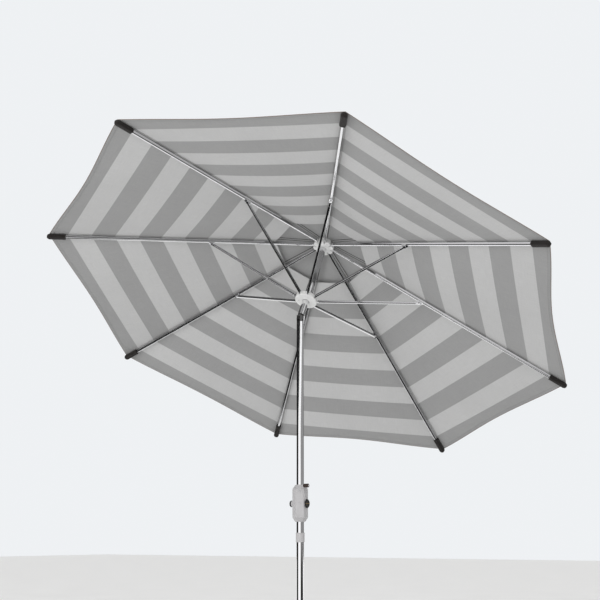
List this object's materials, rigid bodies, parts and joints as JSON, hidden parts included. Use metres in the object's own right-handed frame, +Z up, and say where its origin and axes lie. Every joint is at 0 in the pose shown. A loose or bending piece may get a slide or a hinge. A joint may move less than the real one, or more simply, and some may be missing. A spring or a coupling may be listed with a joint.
{
  "type": "tilting patio umbrella",
  "caption": "Open parasol with a straight two-section pole, crank lift, push-button tilt and a striped, vented cloth canopy on hinged ribs and struts.",
  "frame": {"origin": "centre of the flat foot of the pole", "axes": "+Z up the pole, +X along the tilt pins and out of the crank's side, +Y the way the canopy leans"},
  "size_m": [2.7206, 2.406, 2.5542],
  "materials": {
    "polished_aluminium": "polished",
    "rib_aluminium": "polished",
    "zinc_steel": "zinc plated",
    "brass": "dull",
    "light_grey_plastic": "fine satin",
    "white_plastic": "satin",
    "black_plastic": "satin",
    "brown_plastic": "semi-gloss",
    "white_cord": "braided",
    "striped_cloth": "woven polyester in two greys",
    "grey_cloth": "woven polyester",
    "pocket_cloth": "woven polyester"
  },
  "bodies": {
    "base_pole": {"foot_plug": "black_plastic", "lower_pole": "polished_aluminium", "pole_collar": "light_grey_plastic"},
    "mast": {"middle_pole": "polished_aluminium", "crank_housing_front": "light_grey_plastic", "crank_housing_back": "light_grey_plastic", "housing_screw_lower": "zinc_steel", "housing_screw_upper": "zinc_steel", "brake_drum": "zinc_steel", "shaft_bush": "black_plastic", "tilt_fork": "black_plastic", "tilt_pin_left": "zinc_steel", "tilt_pin_right": "zinc_steel", "button_spring": "zinc_steel", "lift_cord_lower": "white_cord"},
    "crank": {"crank_shaft": "zinc_steel", "cord_spool": "white_plastic", "brake_spring": "zinc_steel", "shaft_end_cap": "black_plastic", "crank_arm": "light_grey_plastic", "crank_cap": "black_plastic", "crank_cross_pin": "brass"},
    "grip": {"crank_grip": "brown_plastic"},
    "button": {"tilt_button": "black_plastic"},
    "head": {"tilt_tongue": "black_plastic", "upper_pole": "polished_aluminium", "crown_hub": "white_plastic", "crown_cap": "white_plastic", "finial": "light_grey_plastic", "pulley_pin": "zinc_steel", "lift_cord_upper": "white_cord", "canopy": "striped_cloth", "vent_cap": "grey_cloth"},
    "pulley": {"pulley": "white_plastic"},
    "runner": {"runner": "white_plastic"},
    "rib_1": {"rib_1": "rib_aluminium", "tip_pocket_1": "pocket_cloth"},
    "rib_2": {"rib_2": "rib_aluminium", "tip_pocket_2": "pocket_cloth"},
    "rib_3": {"rib_3": "rib_aluminium", "tip_pocket_3": "pocket_cloth"},
    "rib_4": {"rib_4": "rib_aluminium", "tip_pocket_4": "pocket_cloth"},
    "rib_5": {"rib_5": "rib_aluminium", "tip_pocket_5": "pocket_cloth"},
    "rib_6": {"rib_6": "rib_aluminium", "tip_pocket_6": "pocket_cloth"},
    "rib_7": {"rib_7": "rib_aluminium", "tip_pocket_7": "pocket_cloth"},
    "rib_8": {"rib_8": "rib_aluminium", "tip_pocket_8": "pocket_cloth"},
    "strut_1": {"strut_1": "rib_aluminium"},
    "strut_2": {"strut_2": "rib_aluminium"},
    "strut_3": {"strut_3": "rib_aluminium"},
    "strut_4": {"strut_4": "rib_aluminium"},
    "strut_5": {"strut_5": "rib_aluminium"},
    "strut_6": {"strut_6": "rib_aluminium"},
    "strut_7": {"strut_7": "rib_aluminium"},
    "strut_8": {"strut_8": "rib_aluminium"}
  },
  "joints": [
    {"name": "pole_joint", "type": "slide", "parent": "base_pole", "child": "mast", "axis": [0, 0, 1], "range_m": [0, 0.1]},
    {"name": "tilt", "type": "hinge", "parent": "mast", "child": "head", "pos_m": [0, 0, 1.86], "axis": [1, 0, 0], "range_deg": [0, 28]},
    {"name": "tilt_button_press", "type": "slide", "parent": "mast", "child": "button", "axis": [0, 1, 0], "range_m": [0, 0.003], "stiffness_N_per_m": 400, "springref_m": -0.004, "deforming": ["button_spring"]},
    {"name": "crank_turn", "type": "hinge", "parent": "mast", "child": "crank", "pos_m": [0, 0, 0.9445], "axis": [1, 0, 0], "range_deg": [0, 470]},
    {"name": "grip_spin", "type": "hinge", "parent": "crank", "child": "grip", "pos_m": [0.0565, -0.02719, 1.02819], "axis": [1, 0, 0], "continuous": true},
    {"name": "runner_slide", "type": "slide", "parent": "head", "child": "runner", "axis": [0, 0.4695, 0.8829], "range_m": [-0.08, 0], "deforming": ["canopy", "lift_cord_upper"]},
    {"name": "pulley_turn", "type": "hinge", "parent": "head", "child": "pulley", "pos_m": [0, 0.21843, 2.24898], "axis": [1, 0, 0], "range_deg": [-450, 0]},
    {"name": "rib_1_fold", "type": "hinge", "parent": "head", "child": "rib_1", "pos_m": [0.04555, 0.22345, 2.29388], "axis": [0.1392, 0.8744, -0.4649], "range_deg": [0, 5]},
    {"name": "rib_2_fold", "type": "hinge", "parent": "head", "child": "rib_2", "pos_m": [0.03674, 0.25355, 2.27788], "axis": [-0.6018, 0.7052, -0.3749], "range_deg": [0, 5]},
    {"name": "rib_3_fold", "type": "hinge", "parent": "head", "child": "rib_3", "pos_m": [0.0064, 0.26932, 2.26949], "axis": [-0.9903, 0.1229, -0.0653], "range_deg": [0, 5]},
    {"name": "rib_4_fold", "type": "hinge", "parent": "head", "child": "rib_4", "pos_m": [-0.02768, 0.26154, 2.27363], "axis": [-0.7986, -0.5314, 0.2825], "range_deg": [0, 5]},
    {"name": "rib_5_fold", "type": "hinge", "parent": "head", "child": "rib_5", "pos_m": [-0.04555, 0.23475, 2.28787], "axis": [-0.1392, -0.8744, 0.4649], "range_deg": [0, 5]},
    {"name": "rib_6_fold", "type": "hinge", "parent": "head", "child": "rib_6", "pos_m": [-0.03674, 0.20466, 2.30388], "axis": [0.6018, -0.7052, 0.3749], "range_deg": [0, 5]},
    {"name": "rib_7_fold", "type": "hinge", "parent": "head", "child": "rib_7", "pos_m": [-0.0064, 0.18888, 2.31226], "axis": [0.9903, -0.1229, 0.0653], "range_deg": [0, 5]},
    {"name": "rib_8_fold", "type": "hinge", "parent": "head", "child": "rib_8", "pos_m": [0.02768, 0.19667, 2.30813], "axis": [0.7986, 0.5314, -0.2825], "range_deg": [0, 5]},
    {"name": "strut_1_fold", "type": "hinge", "parent": "runner", "child": "strut_1", "pos_m": [0.04258, 0.05199, 1.97053], "axis": [-0.1392, -0.8744, 0.4649], "range_deg": [0, 5]},
    {"name": "strut_2_fold", "type": "hinge", "parent": "runner", "child": "strut_2", "pos_m": [0.03434, 0.08012, 1.95557], "axis": [0.6018, -0.7052, 0.3749], "range_deg": [0, 5]},
    {"name": "strut_3_fold", "type": "hinge", "parent": "runner", "child": "strut_3", "pos_m": [0.00598, 0.09487, 1.94773], "axis": [0.9903, -0.1229, 0.0653], "range_deg": [0, 5]},
    {"name": "strut_4_fold", "type": "hinge", "parent": "runner", "child": "strut_4", "pos_m": [-0.02588, 0.0876, 1.9516], "axis": [0.7986, 0.5314, -0.2825], "range_deg": [0, 5]},
    {"name": "strut_5_fold", "type": "hinge", "parent": "runner", "child": "strut_5", "pos_m": [-0.04258, 0.06256, 1.96491], "axis": [0.1392, 0.8744, -0.4649], "range_deg": [0, 5]},
    {"name": "strut_6_fold", "type": "hinge", "parent": "runner", "child": "strut_6", "pos_m": [-0.03434, 0.03443, 1.97987], "axis": [-0.6018, 0.7052, -0.3749], "range_deg": [0, 5]},
    {"name": "strut_7_fold", "type": "hinge", "parent": "runner", "child": "strut_7", "pos_m": [-0.00598, 0.01968, 1.98771], "axis": [-0.9903, 0.1229, -0.0653], "range_deg": [0, 5]},
    {"name": "strut_8_fold", "type": "hinge", "parent": "runner", "child": "strut_8", "pos_m": [0.02588, 0.02695, 1.98384], "axis": [-0.7986, -0.5314, 0.2825], "range_deg": [0, 5]}
  ],
  "couplings": [
    {"joint": "crank_turn", "follows": "runner_slide", "rad_per_m": -102.04},
    {"joint": "pulley_turn", "follows": "runner_slide", "rad_per_m": 97.561},
    {"joint": "rib_1_fold", "follows": "runner_slide", "rad_per_m": -0.9569},
    {"joint": "rib_2_fold", "follows": "runner_slide", "rad_per_m": -0.9569},
    {"joint": "rib_3_fold", "follows": "runner_slide", "rad_per_m": -0.9569},
    {"joint": "rib_4_fold", "follows": "runner_slide", "rad_per_m": -0.9569},
    {"joint": "rib_5_fold", "follows": "runner_slide", "rad_per_m": -0.9569},
    {"joint": "rib_6_fold", "follows": "runner_slide", "rad_per_m": -0.9569},
    {"joint": "rib_7_fold", "follows": "runner_slide", "rad_per_m": -0.9569},
    {"joint": "rib_8_fold", "follows": "runner_slide", "rad_per_m": -0.9569},
    {"joint": "strut_1_fold", "follows": "runner_slide", "rad_per_m": -1.0049},
    {"joint": "strut_2_fold", "follows": "runner_slide", "rad_per_m": -1.0049},
    {"joint": "strut_3_fold", "follows": "runner_slide", "rad_per_m": -1.0049},
    {"joint": "strut_4_fold", "follows": "runner_slide", "rad_per_m": -1.0049},
    {"joint": "strut_5_fold", "follows": "runner_slide", "rad_per_m": -1.0049},
    {"joint": "strut_6_fold", "follows": "runner_slide", "rad_per_m": -1.0049},
    {"joint": "strut_7_fold", "follows": "runner_slide", "rad_per_m": -1.0049},
    {"joint": "strut_8_fold", "follows": "runner_slide", "rad_per_m": -1.0049}
  ]
}
